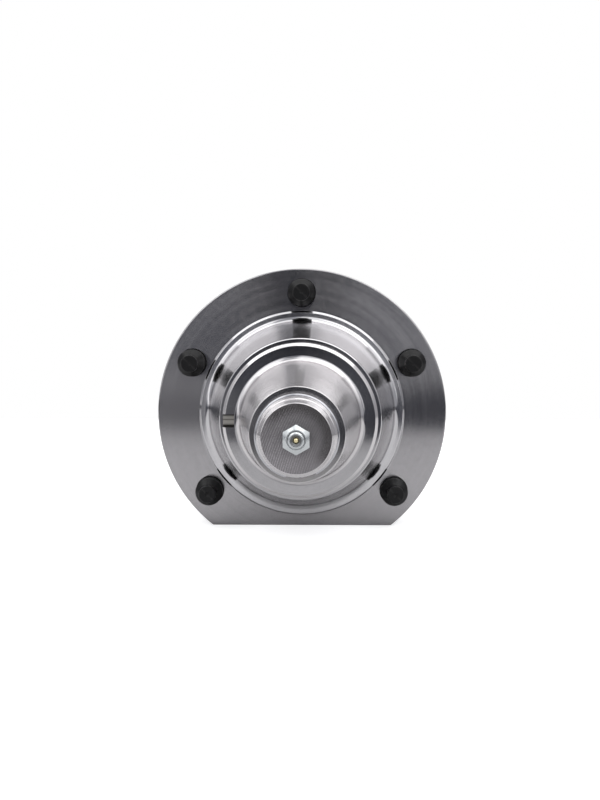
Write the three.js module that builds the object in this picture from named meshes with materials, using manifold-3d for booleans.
// Hydraulic motor: a fixed-centre internal-gear (gerotor) motor with a D-shaped mounting flange,
// five forward-pointing mounting studs, a conical bearing nose and a tapered output shaft.
// Millimetres, +Z up. The output shaft runs along Y and its free end points to -Y.
// The origin is the centre of the flat foot milled on the mounting flange.
//
// Parts are drawn with the shaft axis as the Y axis and y = 0 on the flange's front face:
// negative y is in front of it, towards the shaft's free end. Pairs such as WEAR_PLATE hold
// a part's front and rear y. Angles are degrees from +X towards +Z.
import * as THREE from "three";
import { mergeVertices } from "three/addons/utils/BufferGeometryUtils.js";
import Module from "manifold-3d";

const wasm = await Module();
wasm.setup();

// ---------- driving dimensions ----------
const AXIS_HEIGHT = 59.5; // shaft axis above the flat foot

// flange and studs
const FLANGE_R = 76;
const FLANGE_T = 20;
const STUD_PITCH_R = 63.5;
const STUD_ANGLES = [90, 155, 220, 320, 25];
const STUD_R = 7;
const STUD_DOG_R = 4.4; // reduced front end
const STUD_TIP = -16;
const STUD_HEAD_R = 9.2;
const STUD_HEAD_T = 5;
const STUD_HOLE_R = 7.25;

// nose and barrel
const LIP_R = 54; // raised step round the nose
const LIP_HEIGHT = 0.9;
const FILLET_START_R = 52.2; // sweep from the step into the cone
const FILLET_R = 3.6;
const FILLET_ANGLES = [0, 25, 50, 75.4];
const NOSE_RIM_R = 39.7;
const NOSE_LENGTH = 37;
const BARREL_R = 50;
const HOUSING_BACK = 52;
const BODY_R = 53.5; // rear collar and the round parts behind it
const SEAL_POCKET_R = 36.5;
const CARRIER_BORE_R = 30.4; // seat of the seal carrier
const CARRIER_BORE_DEPTH = 8;
const CARRIER_GAP = 0.3;

// shaft, front to rear
const SHAFT_END = -128;
const SHAFT_END_R = 15.1;
const END_LAND_R = 17.4; // cylinder that carries the retaining ring
const END_GROOVE_R = 16.4;
const END_GROOVE = [-117.9, -115.9];
const END_RING_R = 18.3;
const END_RING_GAP = [255, 297];
const TAPER_END = -111;
const TAPER_END_R = 21;
const TAPER_BASE_R = 32.1; // outer edge of the fillet at the taper's root
const SHOULDER_R = 38.2; // drive shoulder
const SHOULDER_FACE = -45;
const SHOULDER_BACK = -38;
const SLOT_WIDTH = 6.4; // drive slot across the shoulder
const SLOT_DEPTH = 5;
const SEAL_JOURNAL_R = 30;
const JOURNAL_R = 21.2;
const BEARING_GROOVE_R = 20.2; // groove of the ring that holds the bearings
const BEARING_GROOVE = [36.5, 38.7];
const BEARING_RING_R = 24.6;
const BEARING_RING_GAP = [78, 102];
const RING_SIDE_GAP = 0.2; // retaining rings' side clearance in their grooves
const ROTOR_SEAT_R = 16;
const REAR_JOURNAL_R = 14.5;
const SHAFT_BACK = 103;
const GREASE_BORE_R = 2;
const FITTING_BORE_R = 4.9;
const GREASE_HEX_AF = 11.1; // grease fitting's hexagon across flats
const FITTING_FACE = SHAFT_END - 0.2; // rear face of that hexagon

// bearings
const BEARING_BORE_R = 36.8;
const BEARING_OUTER_R = 36.5;
const OUTER_TRACK_R = 32.1;
const INNER_TRACK_R = 25.4;
const BEARING_INNER_R = 21.45;
const TRACK_LIP = 1.6; // height of the outer race's lips
const TRACK_LIP_T = 2;
const CAGE_HALF_T = 1.4;
const CAGE_INSET = 2.4; // cage and rollers in from the race faces
const ROLLER_R = 3.05;
const ROLLERS = 12;
const BEARING_WIDTH = 18;
const FRONT_BEARING = -25.7; // front face of the front bearing
const REAR_BEARING = 18;
const RACE_SPACER = [FRONT_BEARING + BEARING_WIDTH, REAR_BEARING];

// stack clamped behind the flange housing
const WEAR_PLATE = [HOUSING_BACK, 58];
const RING_HOUSING = [WEAR_PLATE[1], 83];
const PORT_PLATE = [RING_HOUSING[1], 90];
const PORT_HOUSING = [PORT_PLATE[1], 135];
const END_COVER = [PORT_HOUSING[1], 147];
const BOLT_PITCH_R = 47.5; // also the dowels' pitch
const BOLT_ANGLES = [30, 90, 150, 210, 270, 330];
const BOLT_R = 4;
const BOLT_FRONT = 40.5;
const BOLT_HEAD_R = 6.4;
const BOLT_HEAD_T = 8;
const BOLT_SOCKET_R = 3.45; // across corners
const BOLT_HOLE_R = 4.4;
const BOLT_HOLE_BOTTOM = 38;
const DOWEL_ANGLES = [0, 180];
const DOWEL = [45, 94];
const DOWEL_R = 1.95;
const DOWEL_HOLE_R = 2.2;
const GROOVE_SIZE = 2.2; // width and depth of the O-ring grooves
const HOUSING_GROOVE_R = 39; // inner edges of the grooves
const COVER_GROOVE_R = 38;
const O_RING_GAP = 0.3; // radial clearance on both sides

// port housing
const BODY_HALF_WIDTH = 54;
const BODY_CHAMFER = 9;
const PORT_PAD_HEIGHT = 54; // ports' sealing face above the shaft axis
const PORT_X = 22; // port mouths
const PORT_LOWER_X = 23.76; // narrower bores below the mouths
const PORT_Y = 114;
const KIDNEY_R = [20.5, 28.5];
const KIDNEY_ANGLES = [[-62, 62], [118, 242]];
const KIDNEY_STEPS = 8;
const BUSH_R = 18;
const DRAIN_Y = 118; // case drain port in the +X side
const DRAIN_Z = -4;
const VALVE_Y = 99; // check valves in both sides
const VALVE_Z = -10;
const VALVE_SEAT_X = 36.9; // seated ball's centre
const RETURN_X = 38; // return drillings beside the valves
const RETURN_Y = 115;
const RETURN_R = 2;

// gerotor: seven round lobes on the outer rotor, six teeth on the inner rotor
const LOBES = 7;
const LOBE_PITCH_R = 31;
const LOBE_R = 8;
const ECCENTRICITY = 3; // outer rotor's centre sits this far below the shaft axis
const ROTOR_GAP = 0.3;
const OUTER_ROTOR_R = 38;
const OUTER_ROTOR_BORE_R = 29.4;
const ROTOR_FACE_GAP = 0.2;
const ROTOR = [RING_HOUSING[0] + ROTOR_FACE_GAP, RING_HOUSING[1] - ROTOR_FACE_GAP];
const KEYWAY = [60, 81];
const KEYWAY_HALF_WIDTH = 3;
const KEYWAY_FLOOR = 12.4; // above the shaft axis
const KEY_HALF_WIDTH = 2.8;
const KEY_TOP = 18.1;
const KEY_GAP = 0.3; // at the key's ends, its underside and its top

const OVERCUT = 1; // how far cutting tools run past a face
const MERGE_TOLERANCE = 1e-4;

const FINISHES = {
  machined_steel: { color: 0xb4b4b8, roughness: 0.32, metalness: 1.0 },
  black_oxide: { color: 0x17171a, roughness: 0.45, metalness: 0.8 },
  zinc_plate: { color: 0xd6dbdf, roughness: 0.22, metalness: 1.0 },
  brass: { color: 0xc8a24a, roughness: 0.3, metalness: 1.0 },
  hardened_steel: { color: 0x9fa1a6, roughness: 0.22, metalness: 1.0 },
  ground_steel: { color: 0x8f9095, roughness: 0.38, metalness: 1.0 },
  bronze: { color: 0xa9743a, roughness: 0.4, metalness: 1.0 },
  seal_rubber: { color: 0x151515, roughness: 0.75, metalness: 0.0 },
  painted_casting: { color: 0x1d1f22, roughness: 0.55, metalness: 0.2 },
};

// ---------- helpers ----------
// Welds a closed geometry into a manifold solid, turning it inside out if its faces point inwards.
function solid(geometry) {
  const flat = geometry.index ? geometry.toNonIndexed() : geometry;
  const bare = new THREE.BufferGeometry();
  bare.setAttribute("position", flat.getAttribute("position"));
  const merged = mergeVertices(bare, MERGE_TOLERANCE);
  const index = merged.index.array;
  const triangles = [];
  for (let i = 0; i < index.length; i += 3) {
    const [a, b, c] = [index[i], index[i + 1], index[i + 2]];
    if (a !== b && b !== c && a !== c) triangles.push(a, b, c);
  }
  const make = () =>
    new wasm.Manifold(
      new wasm.Mesh({
        numProp: 3,
        vertProperties: merged.attributes.position.array,
        triVerts: new Uint32Array(triangles),
      }),
    );
  const first = make();
  if (first.volume() > 0) return first;
  for (let i = 0; i < triangles.length; i += 3) {
    [triangles[i + 1], triangles[i + 2]] = [triangles[i + 2], triangles[i + 1]];
  }
  return make();
}

// Turned about Y; the profile is [radius, y] from axis to axis, or a closed loop.
function turned(profile, segments = 28, x = 0, z = 0) {
  const points = profile.map(([radius, y]) => new THREE.Vector2(radius, y));
  const closedOnAxis = points[0].x === 0 && points[points.length - 1].x === 0;
  if (!closedOnAxis) points.push(points[0].clone());
  const geometry = new THREE.LatheGeometry(points, segments);
  geometry.translate(x, 0, z);
  return solid(geometry);
}

// Plain ring about Y.
function tube(innerR, outerR, y0, y1, segments, z) {
  const profile = [[innerR, y0], [outerR, y0], [outerR, y1], [innerR, y1]];
  return turned(profile, segments, 0, z);
}

// Cylinders along Y, X and Z.
function rod(radius, y0, y1, x = 0, z = 0, segments = 16) {
  const geometry = new THREE.CylinderGeometry(radius, radius, y1 - y0, segments);
  geometry.translate(x, (y0 + y1) / 2, z);
  return solid(geometry);
}
function rodX(radius, x0, x1, y, z, segments = 16) {
  const geometry = new THREE.CylinderGeometry(radius, radius, x1 - x0, segments);
  geometry.rotateZ(Math.PI / 2);
  geometry.translate((x0 + x1) / 2, y, z);
  return solid(geometry);
}
function rodZ(radius, z0, z1, x, y, segments) {
  const geometry = new THREE.CylinderGeometry(radius, radius, z1 - z0, segments);
  geometry.rotateX(Math.PI / 2);
  geometry.translate(x, y, (z0 + z1) / 2);
  return solid(geometry);
}

// Cylinder along X on the +X side (side 1) or at the mirrored place (side -1).
function sideRod(side, radius, x0, x1, y, z, segments) {
  const [from, to] = side > 0 ? [x0, x1] : [-x1, -x0];
  return rodX(radius, from, to, y, z, segments);
}

function block(x0, x1, y0, y1, z0, z1) {
  const geometry = new THREE.BoxGeometry(x1 - x0, y1 - y0, z1 - z0);
  geometry.translate((x0 + x1) / 2, (y0 + y1) / 2, (z0 + z1) / 2);
  return solid(geometry);
}

// Prism along Y from an outline of [x, z] points.
function prism(outline, y0, y1) {
  const shape = new THREE.Shape(outline.map(([x, z]) => new THREE.Vector2(x, z)));
  const geometry = new THREE.ExtrudeGeometry(shape, { depth: y1 - y0, bevelEnabled: false });
  geometry.rotateX(Math.PI / 2);
  geometry.translate(0, y1, 0);
  return solid(geometry);
}

function ball(radius, x, y, z, widthSegments, heightSegments) {
  const geometry = new THREE.SphereGeometry(radius, widthSegments, heightSegments);
  geometry.translate(x, y, z);
  return solid(geometry);
}

class Helix extends THREE.Curve {
  constructor(radius, turns, start, length) {
    super();
    Object.assign(this, { radius, turns, start, length });
  }
  getPoint(t, out = new THREE.Vector3()) {
    const angle = 2 * Math.PI * this.turns * t;
    return out.set(
      this.radius * Math.cos(angle),
      this.start + this.length * t,
      this.radius * Math.sin(angle),
    );
  }
}

// Geometry of a five-sided wire coiled along Y.
function springGeometry({ coilR, wireR, turns, start, length, stepsPerTurn }) {
  const sides = 5;
  const corners = [];
  for (let i = 0; i < sides; i++) {
    const angle = (2 * Math.PI * i) / sides;
    corners.push(new THREE.Vector2(wireR * Math.cos(angle), wireR * Math.sin(angle)));
  }
  const section = new THREE.Shape(corners);
  section.closePath();
  return new THREE.ExtrudeGeometry(section, {
    steps: Math.round(turns * stepsPerTurn),
    extrudePath: new Helix(coilR, turns, start, length),
    bevelEnabled: false,
  });
}

function polar(radius, degrees) {
  const angle = (degrees * Math.PI) / 180;
  return [radius * Math.cos(angle), radius * Math.sin(angle)];
}

const cut = (body, tools) => tools.reduce((rest, tool) => rest.subtract(tool), body);

const rodsAt = (centres, radius, y0, y1, segments) =>
  centres.map(([x, z]) => rod(radius, y0, y1, x, z, segments));

const STUD_CENTRES = STUD_ANGLES.map((angle) => polar(STUD_PITCH_R, angle));
const BOLT_CENTRES = BOLT_ANGLES.map((angle) => polar(BOLT_PITCH_R, angle));
const DOWEL_CENTRES = DOWEL_ANGLES.map((angle) => polar(BOLT_PITCH_R, angle));

// Tools for the tie bolt and dowel holes, run past both ends.
const boltHoles = (y0, y1) =>
  rodsAt(BOLT_CENTRES, BOLT_HOLE_R, y0 - OVERCUT, y1 + OVERCUT, 10);
const dowelHoles = (y0, y1) =>
  rodsAt(DOWEL_CENTRES, DOWEL_HOLE_R, y0 - OVERCUT, y1 + OVERCUT, 8);

// Tool for an O-ring groove sunk into a rear face.
const ringGroove = (innerR, face) =>
  tube(innerR, innerR + GROOVE_SIZE, face - GROOVE_SIZE, face + OVERCUT);

const oRing = (grooveR, y0, y1) =>
  tube(grooveR + O_RING_GAP, grooveR + GROOVE_SIZE - O_RING_GAP, y0, y1);

// Wedge that opens a retaining ring between two angles.
function gapWedge([from, to], [y0, y1]) {
  const outline = [[0, 0], polar(30, from), polar(34, (from + to) / 2), polar(30, to)];
  return prism(outline, y0 - OVERCUT, y1 + OVERCUT);
}

// Tools for the two kidney-shaped ports.
function kidneys(y0, y1) {
  const [innerR, outerR] = KIDNEY_R;
  return KIDNEY_ANGLES.map(([from, to]) => {
    const at = (radius, i) => polar(radius, from + ((to - from) * i) / KIDNEY_STEPS);
    const outline = [];
    for (let i = 0; i <= KIDNEY_STEPS; i++) outline.push(at(outerR, i));
    for (let i = KIDNEY_STEPS; i >= 0; i--) outline.push(at(innerR, i));
    return prism(outline, y0, y1);
  });
}

// ---------- flange housing: D flange, conical nose, bearing barrel ----------
function flangeHousing() {
  const fillet = FILLET_ANGLES.map((degrees) => {
    const [along, across] = polar(FILLET_R, degrees);
    return [FILLET_START_R - across, -LIP_HEIGHT - (FILLET_R - along)];
  });
  const outside = turned(
    [
      [0, HOUSING_BACK],
      // rear collar and barrel
      [BODY_R, HOUSING_BACK], [BODY_R, 40],
      [BARREL_R, 37], [BARREL_R, FLANGE_T],
      // flange and step
      [FLANGE_R - 1, FLANGE_T], [FLANGE_R, FLANGE_T - 1],
      [FLANGE_R, 0.8], [FLANGE_R - 0.8, 0],
      [LIP_R, 0], [LIP_R - LIP_HEIGHT, -LIP_HEIGHT],
      // fillet into the cone, then the nose rim
      ...fillet,
      [NOSE_RIM_R + 0.5, -(NOSE_LENGTH - 0.6)], [NOSE_RIM_R - 0.1, -NOSE_LENGTH],
      [0, -NOSE_LENGTH],
    ],
    60,
  );
  // seal pocket, bearing seat, pressure seal room, carrier seat
  const bearingSeatFront = FRONT_BEARING - 0.3;
  const carrierSeatFront = HOUSING_BACK - CARRIER_BORE_DEPTH;
  const bore = turned(
    [
      [0, -NOSE_LENGTH - OVERCUT],
      [SEAL_POCKET_R, -NOSE_LENGTH - OVERCUT], [SEAL_POCKET_R, -28.4],
      [33.5, -28.4], [33.5, bearingSeatFront],
      [BEARING_BORE_R, bearingSeatFront], [BEARING_BORE_R, 40.5],
      [34, 40.5], [34, carrierSeatFront],
      [CARRIER_BORE_R, carrierSeatFront], [CARRIER_BORE_R, HOUSING_BACK + OVERCUT],
      [0, HOUSING_BACK + OVERCUT],
    ],
    32,
  );
  const footCut = block(-90, 90, -OVERCUT, FLANGE_T + OVERCUT, -90, -AXIS_HEIGHT);
  return cut(outside, [
    bore,
    footCut,
    ...rodsAt(STUD_CENTRES, STUD_HOLE_R, -OVERCUT, FLANGE_T + OVERCUT, 20),
    ...boltHoles(BOLT_HOLE_BOTTOM + OVERCUT, HOUSING_BACK),
    ...dowelHoles(DOWEL[0], HOUSING_BACK),
    ringGroove(HOUSING_GROOVE_R, HOUSING_BACK),
  ]);
}

// Stud with a reduced, dimpled tip in front and a head behind the flange.
function mountingStud([x, z]) {
  return turned(
    [
      [0, STUD_TIP + 1.2], [1.2, STUD_TIP],
      [STUD_DOG_R - 0.5, STUD_TIP], [STUD_DOG_R, STUD_TIP + 0.5],
      [STUD_DOG_R, -10.8], [STUD_R, -8.2], [STUD_R, FLANGE_T],
      [STUD_HEAD_R, FLANGE_T], [STUD_HEAD_R, FLANGE_T + STUD_HEAD_T - 0.8],
      [STUD_HEAD_R - 1.2, FLANGE_T + STUD_HEAD_T],
      [0, FLANGE_T + STUD_HEAD_T],
    ],
    20,
    x,
    z,
  );
}

// ---------- output shaft ----------
function outputShaft() {
  const front = turned(
    [
      // grease bore, opening into the fitting's bore
      [0, -26], [GREASE_BORE_R, -28], [GREASE_BORE_R, -113],
      [FITTING_BORE_R, -115], [FITTING_BORE_R, SHAFT_END],
      // end cone and grooved land
      [SHAFT_END_R, SHAFT_END], [16.3, -122.2], [16.8, -121.9], [END_LAND_R, -119.5],
      [END_LAND_R, END_GROOVE[0]], [END_GROOVE_R, END_GROOVE[0]],
      [END_GROOVE_R, END_GROOVE[1]], [END_LAND_R, END_GROOVE[1]],
      [END_LAND_R, TAPER_END],
      // taper and its root fillet
      [TAPER_END_R - 0.5, TAPER_END], [TAPER_END_R, TAPER_END + 0.5],
      [TAPER_BASE_R - 2.97, SHOULDER_FACE - 2.58],
      [TAPER_BASE_R - 2.46, SHOULDER_FACE - 1.28],
      [TAPER_BASE_R - 1.41, SHOULDER_FACE - 0.35],
      [TAPER_BASE_R, SHOULDER_FACE],
      // drive shoulder and seal journal
      [SHOULDER_R - 1.4, SHOULDER_FACE], [SHOULDER_R, SHOULDER_FACE + 1.4],
      [SHOULDER_R, SHOULDER_BACK - 0.5], [SHOULDER_R - 0.5, SHOULDER_BACK],
      [SEAL_JOURNAL_R, SHOULDER_BACK], [SEAL_JOURNAL_R, FRONT_BEARING],
      [0, FRONT_BEARING],
    ],
    44,
  );
  // bearing journal, rotor seat and rear journal; starts inside the front part
  const rear = turned([
    [0, FRONT_BEARING - 1], [JOURNAL_R, FRONT_BEARING - 1],
    [JOURNAL_R, BEARING_GROOVE[0]], [BEARING_GROOVE_R, BEARING_GROOVE[0]],
    [BEARING_GROOVE_R, BEARING_GROOVE[1]], [JOURNAL_R, BEARING_GROOVE[1]],
    [JOURNAL_R, 56.5], [ROTOR_SEAT_R, 57.5], [ROTOR_SEAT_R, 84],
    [REAR_JOURNAL_R, 85], [REAR_JOURNAL_R, SHAFT_BACK - 1],
    [REAR_JOURNAL_R - 1, SHAFT_BACK], [0, SHAFT_BACK],
  ]);
  // on the -X side of the shoulder
  const driveSlot = block(
    -SHOULDER_R - 2,
    -TAPER_BASE_R - 0.2,
    SHOULDER_FACE - OVERCUT,
    SHOULDER_FACE + SLOT_DEPTH,
    -SLOT_WIDTH / 2,
    SLOT_WIDTH / 2,
  );
  // from the grease bore up to the dust seal
  const crossDrilling = rodZ(1.6, 0, SEAL_JOURNAL_R + 2, 0, -33, 10);
  const keyway = block(-KEYWAY_HALF_WIDTH, KEYWAY_HALF_WIDTH, ...KEYWAY, KEYWAY_FLOOR, 20);
  return cut(front.add(rear), [driveSlot, crossDrilling, keyway]);
}

// ---------- grease fitting in the shaft end ----------
function greaseFittingBody() {
  const face = FITTING_FACE;
  const back = SHAFT_END + 9;
  const hexFront = face - 5.2;
  const nipple = turned(
    [
      [1.15, back], [1.15, face - 0.2], [1.8, face - 0.6], [1.8, face - 5.5],
      [1.25, face - 6], [2.3, face - 6.9], [3, face - 6.9], [3.5, face - 6.4],
      [3.5, face - 5.8], [3.1, face - 5.4], [3.1, face - 3.8], [4.6, face - 3.8],
      [4.6, back],
    ],
    16,
  );
  // hexagon with a turned, conical front and a clearance round the neck
  const cone = turned(
    [[0, hexFront], [4.2, hexFront], [6.5, face - 3.3], [6.5, face], [0, face]],
    24,
  );
  const hexagon = rod(GREASE_HEX_AF / Math.sqrt(3), hexFront, face, 0, 0, 6)
    .intersect(cone)
    .subtract(rod(4, face - 6, face - 3.8, 0, 0, 16))
    .subtract(rod(3, face - 4, face + OVERCUT, 0, 0, 12));
  return nipple.add(hexagon);
}

function greaseFittingSpring() {
  const start = FITTING_FACE - 3.2;
  return solid(
    springGeometry({ coilR: 1.25, wireR: 0.25, turns: 2.6, start, length: 2.2, stepsPerTurn: 8 }),
  );
}

// ---------- retaining rings ----------
// Near the shaft's free end, with its gap at the bottom.
function shaftRetainingRing() {
  const chamfer = 0.45;
  const innerR = END_GROOVE_R + 0.2;
  const y0 = END_GROOVE[0] + RING_SIDE_GAP;
  const y1 = END_GROOVE[1] - RING_SIDE_GAP;
  const ring = turned(
    [
      [innerR, y0], [END_RING_R - chamfer, y0], [END_RING_R, y0 + chamfer],
      [END_RING_R, y1 - chamfer], [END_RING_R - chamfer, y1], [innerR, y1],
    ],
    32,
  );
  return ring.subtract(gapWedge(END_RING_GAP, END_GROOVE));
}

// Behind the rear bearing, with its gap at the top.
function bearingRetainingRing() {
  return tube(
    BEARING_GROOVE_R + 0.25,
    BEARING_RING_R,
    BEARING_GROOVE[0] + RING_SIDE_GAP,
    BEARING_GROOVE[1] - RING_SIDE_GAP,
  ).subtract(gapWedge(BEARING_RING_GAP, BEARING_GROOVE));
}

// ---------- shaft seals ----------
// In the nose mouth.
function dustSeal() {
  const lipR = SEAL_JOURNAL_R + 0.25;
  return turned([
    [lipR, -35], [lipR, -33.8], [32, -33], [32, -29], [36.2, -29], [36.2, -36], [33, -36],
  ]);
}

// Pressure seal behind the bearings.
function shaftSeal() {
  const lipR = JOURNAL_R + 0.25;
  return turned([
    [lipR, 47.6], [lipR, 46.4], [23.5, 45], [27.5, 45], [27.5, 50], [23, 50], [23, 49],
  ]);
}

// L-shaped ring round and behind the pressure seal.
function sealCarrier() {
  const outerR = CARRIER_BORE_R - CARRIER_GAP;
  const sleeveR = 27.8;
  const lipR = 24;
  const front = HOUSING_BACK - CARRIER_BORE_DEPTH + CARRIER_GAP;
  const back = HOUSING_BACK - CARRIER_GAP;
  const lipFront = HOUSING_BACK - 1.6;
  return turned([
    [sleeveR, front], [outerR, front], [outerR, back],
    [lipR, back], [lipR, lipFront], [sleeveR, lipFront],
  ]);
}

// ---------- cylindrical roller bearings; y0 is the front face ----------
function outerRace(y0) {
  const y1 = y0 + BEARING_WIDTH;
  const lipR = OUTER_TRACK_R - TRACK_LIP;
  return turned([
    [lipR, y0], [BEARING_OUTER_R, y0], [BEARING_OUTER_R, y1], [lipR, y1],
    [lipR, y1 - TRACK_LIP_T], [OUTER_TRACK_R, y1 - TRACK_LIP_T],
    [OUTER_TRACK_R, y0 + TRACK_LIP_T], [lipR, y0 + TRACK_LIP_T],
  ]);
}

const innerRace = (y0) => tube(BEARING_INNER_R, INNER_TRACK_R, y0, y0 + BEARING_WIDTH);

// Rollers joined by the cage.
function rollerSet(raceFront) {
  const y0 = raceFront + CAGE_INSET;
  const y1 = raceFront + BEARING_WIDTH - CAGE_INSET;
  const pitchR = (OUTER_TRACK_R + INNER_TRACK_R) / 2;
  let rollers = tube(pitchR - CAGE_HALF_T, pitchR + CAGE_HALF_T, y0, y1);
  for (let i = 0; i < ROLLERS; i++) {
    const [x, z] = polar(pitchR, (360 * i) / ROLLERS);
    rollers = rollers.add(rod(ROLLER_R, y0, y1, x, z, 8));
  }
  return rollers;
}

// ---------- gerotor and the plates on both sides of it ----------
// Round plate with bolt and dowel holes.
function plate(boreR, [y0, y1], openings = []) {
  return cut(tube(boreR, BODY_R, y0, y1), [
    ...boltHoles(y0, y1),
    ...openings,
    ...dowelHoles(y0, y1),
  ]);
}

const portPlate = () =>
  plate(
    REAR_JOURNAL_R + 2.2,
    PORT_PLATE,
    kidneys(PORT_PLATE[0] - OVERCUT, PORT_PLATE[1] + OVERCUT),
  );

// Round outside about the shaft axis, bore about the outer rotor's centre.
function gerotorRingHousing() {
  const offCentre = tube(OUTER_ROTOR_R + 0.3, BODY_R + 3, ...RING_HOUSING, 40, -ECCENTRICITY);
  const body = offCentre.intersect(rod(BODY_R, ...RING_HOUSING, 0, 0, 40));
  return cut(body, [...boltHoles(...RING_HOUSING), ...dowelHoles(...RING_HOUSING)]);
}

function outerRotor() {
  let rotor = tube(OUTER_ROTOR_BORE_R, OUTER_ROTOR_R, ...ROTOR, 42);
  // keeps the lobes inside the ring's outside
  const limit = rod(OUTER_ROTOR_R - 1, ...ROTOR, 0, 0, 42);
  for (let i = 0; i < LOBES; i++) {
    const [x, z] = polar(LOBE_PITCH_R, 90 + (360 * i) / LOBES);
    rotor = rotor.add(rod(LOBE_R, ...ROTOR, x, z, 24).intersect(limit));
  }
  return rotor.translate([0, 0, -ECCENTRICITY]);
}

// Picks points evenly spaced along a closed outline whose last point repeats the first.
function spacedEvenly(fine, count) {
  const run = [0]; // length along the outline
  for (let i = 1; i < fine.length; i++) {
    run.push(run[i - 1] + Math.hypot(fine[i][0] - fine[i - 1][0], fine[i][1] - fine[i - 1][1]));
  }
  const outline = [];
  for (let k = 0, i = 0; k < count; k++) {
    const distance = (run[fine.length - 1] * k) / count;
    while (run[i + 1] < distance) i++;
    outline.push(fine[i]);
  }
  return outline;
}

// Envelope of the outer rotor's lobes, seen from the inner rotor, drawn in by the running gap.
function innerRotorOutline() {
  const offset = LOBE_R + ROTOR_GAP;
  const steps = 960;
  const fine = [];
  for (let i = 0; i <= steps; i++) {
    const t = (2 * Math.PI * i) / steps;
    const lean = Math.atan2(
      Math.sin((1 - LOBES) * t),
      LOBE_PITCH_R / (ECCENTRICITY * LOBES) - Math.cos((1 - LOBES) * t),
    );
    const along =
      LOBE_PITCH_R * Math.cos(t) -
      offset * Math.cos(t + lean) -
      ECCENTRICITY * Math.cos(LOBES * t);
    const across =
      -LOBE_PITCH_R * Math.sin(t) +
      offset * Math.sin(t + lean) +
      ECCENTRICITY * Math.sin(LOBES * t);
    // turned so that the fully meshed lobe is on the +Z side
    fine.push([-across, along]);
  }
  return spacedEvenly(fine, 96);
}

function innerRotor() {
  const y0 = RING_HOUSING[0] - OVERCUT;
  const y1 = RING_HOUSING[1] + OVERCUT;
  return cut(prism(innerRotorOutline(), ...ROTOR), [
    rod(ROTOR_SEAT_R + 0.2, y0, y1, 0, 0, 40),
    block(-3.2, 3.2, y0, y1, 12, KEY_TOP + KEY_GAP),
  ]);
}

const rotorKey = () =>
  block(
    -KEY_HALF_WIDTH,
    KEY_HALF_WIDTH,
    KEYWAY[0] + KEY_GAP,
    KEYWAY[1] - KEY_GAP,
    KEYWAY_FLOOR + KEY_GAP,
    KEY_TOP,
  );

// ---------- port housing ----------
// Stepped check valve bore, narrowing inwards to the pocket, with its return drillings.
function valveBores(side) {
  const mouth = BODY_HALF_WIDTH + OVERCUT;
  return [
    sideRod(side, 7.2, 42, mouth, VALVE_Y, VALVE_Z, 16),
    sideRod(side, 4.6, 34, 43, VALVE_Y, VALVE_Z, 16),
    sideRod(side, 2.4, 24, 35, VALVE_Y, VALVE_Z, 12),
    rod(RETURN_R, 98, RETURN_Y + 1, side * RETURN_X, VALVE_Z, 8),
    sideRod(side, RETURN_R, 0, RETURN_X + 0.5, RETURN_Y, VALVE_Z, 8),
  ];
}

// Vertical port bore with a wider mouth.
function portBores(side) {
  const top = PORT_PAD_HEIGHT + OVERCUT;
  return [
    rodZ(9, 8, top, side * PORT_LOWER_X, PORT_Y, 20),
    rodZ(10.5, PORT_PAD_HEIGHT - 18, top, side * PORT_X, PORT_Y, 20),
  ];
}

function portHousing() {
  const [y0, y1] = PORT_HOUSING;
  const side = BODY_HALF_WIDTH;
  const top = PORT_PAD_HEIGHT;
  const bottom = -AXIS_HEIGHT;
  const c = BODY_CHAMFER;
  const outline = [
    [-side + c, bottom], [side - c, bottom], [side, bottom + c], [side, top - c],
    [side - c, top], [-side + c, top], [-side, top - c], [-side, bottom + c],
  ];
  return cut(prism(outline, y0, y1), [
    // shallow relief between the foot's two pads
    block(-24, 24, y0 - OVERCUT, y1 + OVERCUT, bottom - OVERCUT, bottom + 3),
    // bush seat
    rod(BUSH_R + 0.3, y0 - OVERCUT, 106, 0, 0, 32),
    // pockets behind the port plate
    ...kidneys(y0 - OVERCUT, 108),
    ...portBores(-1),
    ...portBores(1),
    ...boltHoles(y0, y1),
    // case drain port and its inner drilling
    rodX(6.2, 34, side + OVERCUT, DRAIN_Y, DRAIN_Z, 16),
    rodX(3, 5, 35, DRAIN_Y, DRAIN_Z, 10),
    ...valveBores(-1),
    ...valveBores(1),
    // leak chamber behind the bush
    rod(10, 105, 120, 0, 0, 20),
    ...dowelHoles(y0, DOWEL[1]),
    ringGroove(COVER_GROOVE_R, y1),
    // passage from the leak chamber to the end cover
    rod(5, 119, y1 + OVERCUT, 0, 0, 12),
  ]);
}

// Cover with a recess in each face.
function endCover() {
  const [y0, y1] = END_COVER;
  const body = turned(
    [
      [0, y0 + 4], [12, y0 + 4], [14, y0], [BODY_R, y0], [BODY_R, y1 - 2],
      [BODY_R - 2, y1], [30, y1], [28, y1 - 1.5], [0, y1 - 1.5],
    ],
    36,
  );
  return cut(body, boltHoles(y0, y1));
}

// Socket-head bolt, head behind the end cover.
function tieBolt([x, z]) {
  const seat = END_COVER[1];
  const headBack = seat + BOLT_HEAD_T;
  const bolt = turned(
    [
      [0, BOLT_FRONT], [BOLT_R - 0.8, BOLT_FRONT], [BOLT_R, BOLT_FRONT + 0.8],
      [BOLT_R, seat], [BOLT_HEAD_R, seat], [BOLT_HEAD_R, headBack - 0.6],
      [BOLT_HEAD_R - 0.6, headBack], [0, headBack],
    ],
    12,
    x,
    z,
  );
  return bolt.subtract(rod(BOLT_SOCKET_R, seat + 3.6, headBack + OVERCUT, x, z, 6));
}

// ---------- check valves and case drain plug ----------
function valvePlug(side) {
  const body = sideRod(side, 6.9, 46.4, BODY_HALF_WIDTH, VALVE_Y, VALVE_Z);
  const socket = sideRod(side, 3.4, 50.5, BODY_HALF_WIDTH + OVERCUT, VALVE_Y, VALVE_Z, 6);
  return body.subtract(socket);
}

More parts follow.
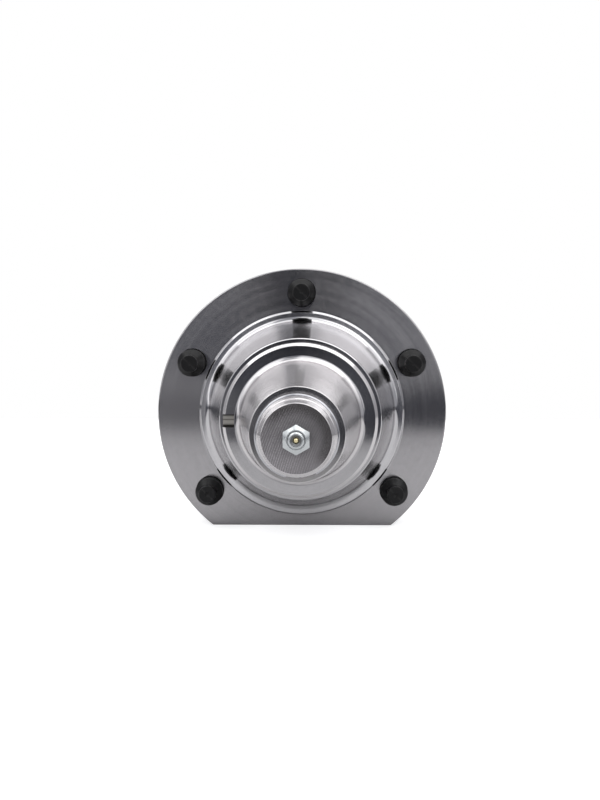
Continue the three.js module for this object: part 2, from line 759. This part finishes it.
function valveSpring(side) {
  const geometry = springGeometry({
    coilR: 3.2,
    wireR: 0.45,
    turns: 3.4,
    start: 41.1,
    length: 4.7,
    stepsPerTurn: 9,
  });
  geometry.rotateZ((-side * Math.PI) / 2);
  geometry.translate(0, VALVE_Y, VALVE_Z);
  return solid(geometry);
}

function caseDrainPlug() {
  const face = BODY_HALF_WIDTH;
  return rodX(6, 44, face, DRAIN_Y, DRAIN_Z)
    .add(rodX(8.6, face, face + 3.5, DRAIN_Y, DRAIN_Z))
    .subtract(rodX(3.4, face - 2, face + 4, DRAIN_Y, DRAIN_Z, 6));
}

// ---------- assembly ----------
const group = new THREE.Group();
group.name = "hydraulic_motor";
group.position.set(0, -FLANGE_T / 2, AXIS_HEIGHT);

function add(name, body, finish) {
  const { numVert, numProp, vertProperties, triVerts } = body.getMesh();
  const positions = new Float32Array(numVert * 3);
  for (let i = 0; i < numVert; i++) {
    positions.set(vertProperties.subarray(i * numProp, i * numProp + 3), i * 3);
  }
  const geometry = new THREE.BufferGeometry();
  geometry.setAttribute("position", new THREE.BufferAttribute(positions, 3));
  geometry.setIndex(new THREE.BufferAttribute(new Uint32Array(triVerts), 1));
  geometry.computeVertexNormals();
  const mesh = new THREE.Mesh(geometry, new THREE.MeshStandardMaterial(FINISHES[finish]));
  mesh.name = name;
  group.add(mesh);
}

add("flange_housing", flangeHousing(), "machined_steel");
STUD_CENTRES.forEach((centre, i) => {
  add(`mounting_stud_${i + 1}`, mountingStud(centre), "black_oxide");
});
add("output_shaft", outputShaft(), "machined_steel");
add("grease_fitting_body", greaseFittingBody(), "zinc_plate");
add("grease_fitting_ball", ball(1.5, 0, FITTING_FACE - 5, 0, 10, 6), "brass");
add("grease_fitting_spring", greaseFittingSpring(), "hardened_steel");
add("shaft_retaining_ring", shaftRetainingRing(), "hardened_steel");
add("dust_seal", dustSeal(), "seal_rubber");
add("shaft_seal", shaftSeal(), "seal_rubber");
add("seal_carrier", sealCarrier(), "ground_steel");
for (const [place, y0] of [["front", FRONT_BEARING], ["rear", REAR_BEARING]]) {
  add(`${place}_bearing_outer_race`, outerRace(y0), "hardened_steel");
  add(`${place}_bearing_inner_race`, innerRace(y0), "hardened_steel");
  add(`${place}_bearing_roller_set`, rollerSet(y0), "bronze");
}
add("outer_race_spacer", tube(33, BEARING_OUTER_R, ...RACE_SPACER), "ground_steel");
add("inner_race_spacer", tube(BEARING_INNER_R, 25, ...RACE_SPACER), "ground_steel");
add("bearing_retaining_ring", bearingRetainingRing(), "hardened_steel");
add("wear_plate", plate(JOURNAL_R + 0.5, WEAR_PLATE), "ground_steel");
add("gerotor_ring_housing", gerotorRingHousing(), "ground_steel");
add("outer_rotor", outerRotor(), "hardened_steel");
add("inner_rotor", innerRotor(), "hardened_steel");
add("rotor_key", rotorKey(), "ground_steel");
add("port_plate", portPlate(), "ground_steel");
add("port_housing", portHousing(), "painted_casting");
add("rear_bush", tube(REAR_JOURNAL_R + 0.25, BUSH_R, 90.3, 104), "bronze");
add("end_cover", endCover(), "painted_casting");
BOLT_CENTRES.forEach((centre, i) => {
  add(`tie_bolt_${i + 1}`, tieBolt(centre), "black_oxide");
});
rodsAt(DOWEL_CENTRES, DOWEL_R, ...DOWEL, 8).forEach((dowel, i) => {
  add(`dowel_${i + 1}`, dowel, "hardened_steel");
});
add(
  "housing_o_ring",
  oRing(HOUSING_GROOVE_R, HOUSING_BACK - 1.8, HOUSING_BACK - 0.2),
  "seal_rubber",
);
add(
  "cover_o_ring",
  oRing(COVER_GROOVE_R, PORT_HOUSING[1] - 1.9, PORT_HOUSING[1] - 0.2),
  "seal_rubber",
);
[-1, 1].forEach((side, i) => {
  const valveBall = ball(3.6, side * VALVE_SEAT_X, VALVE_Y, VALVE_Z, 12, 7);
  add(`check_valve_ball_${i + 1}`, valveBall, "hardened_steel");
  add(`check_valve_plug_${i + 1}`, valvePlug(side), "black_oxide");
  add(`check_valve_spring_${i + 1}`, valveSpring(side), "hardened_steel");
});
add("case_drain_plug", caseDrainPlug(), "zinc_plate");

export default group;
